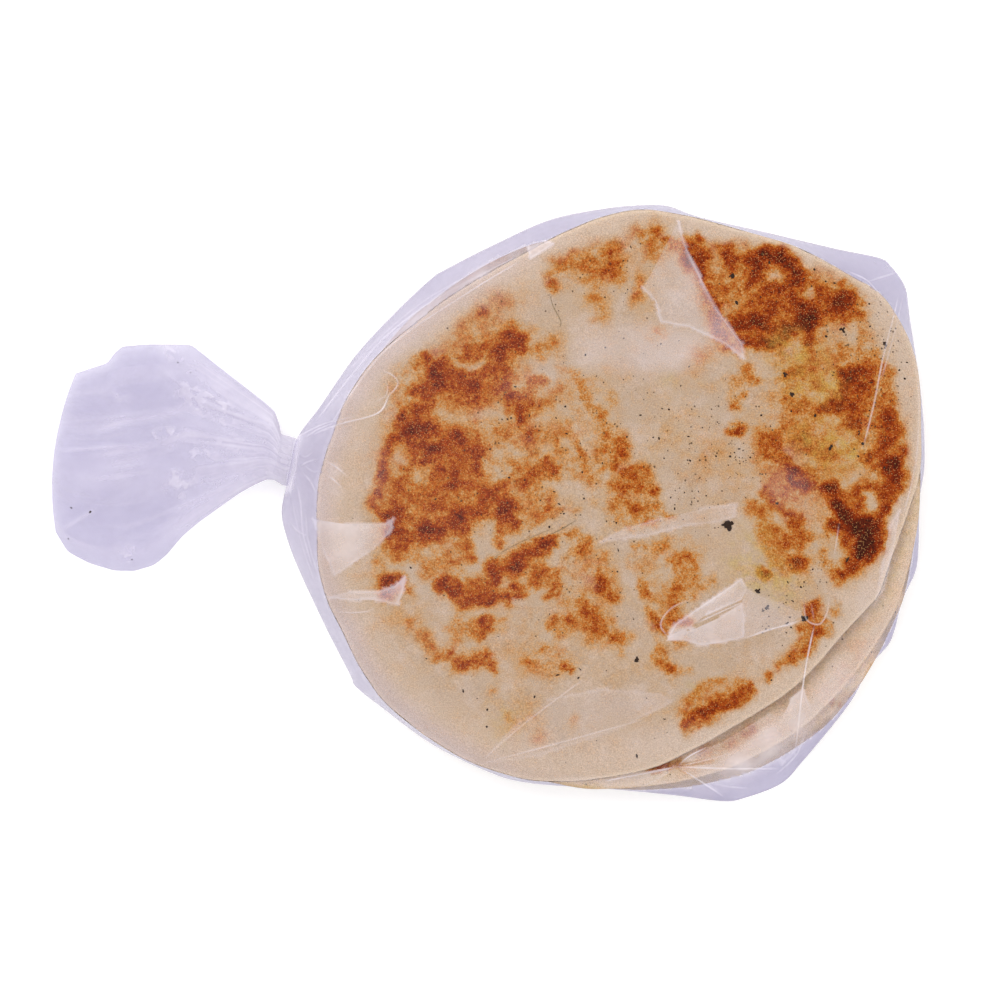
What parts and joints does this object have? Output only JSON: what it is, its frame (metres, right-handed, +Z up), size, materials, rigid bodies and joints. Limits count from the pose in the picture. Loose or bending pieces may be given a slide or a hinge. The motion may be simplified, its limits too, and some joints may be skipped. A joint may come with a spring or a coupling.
{
  "type": "arabic flatbread",
  "caption": "Stack of round toasted flatbreads in a clear bag that lies flat, its neck gathered and its open end fanned out.",
  "frame": {"origin": "middle of the object's box, on the surface that it lies on", "axes": "+X along the bag from the open end of the film to the closed end, +Z up through the stack"},
  "size_m": [0.3502, 0.2391, 0.0345],
  "materials": {
    "film": "clear glossy film with creases",
    "bread": "pale baked crust with toasted patches"
  },
  "bodies": {
    "root": {"bag": "film"}
  },
  "joints": []
}
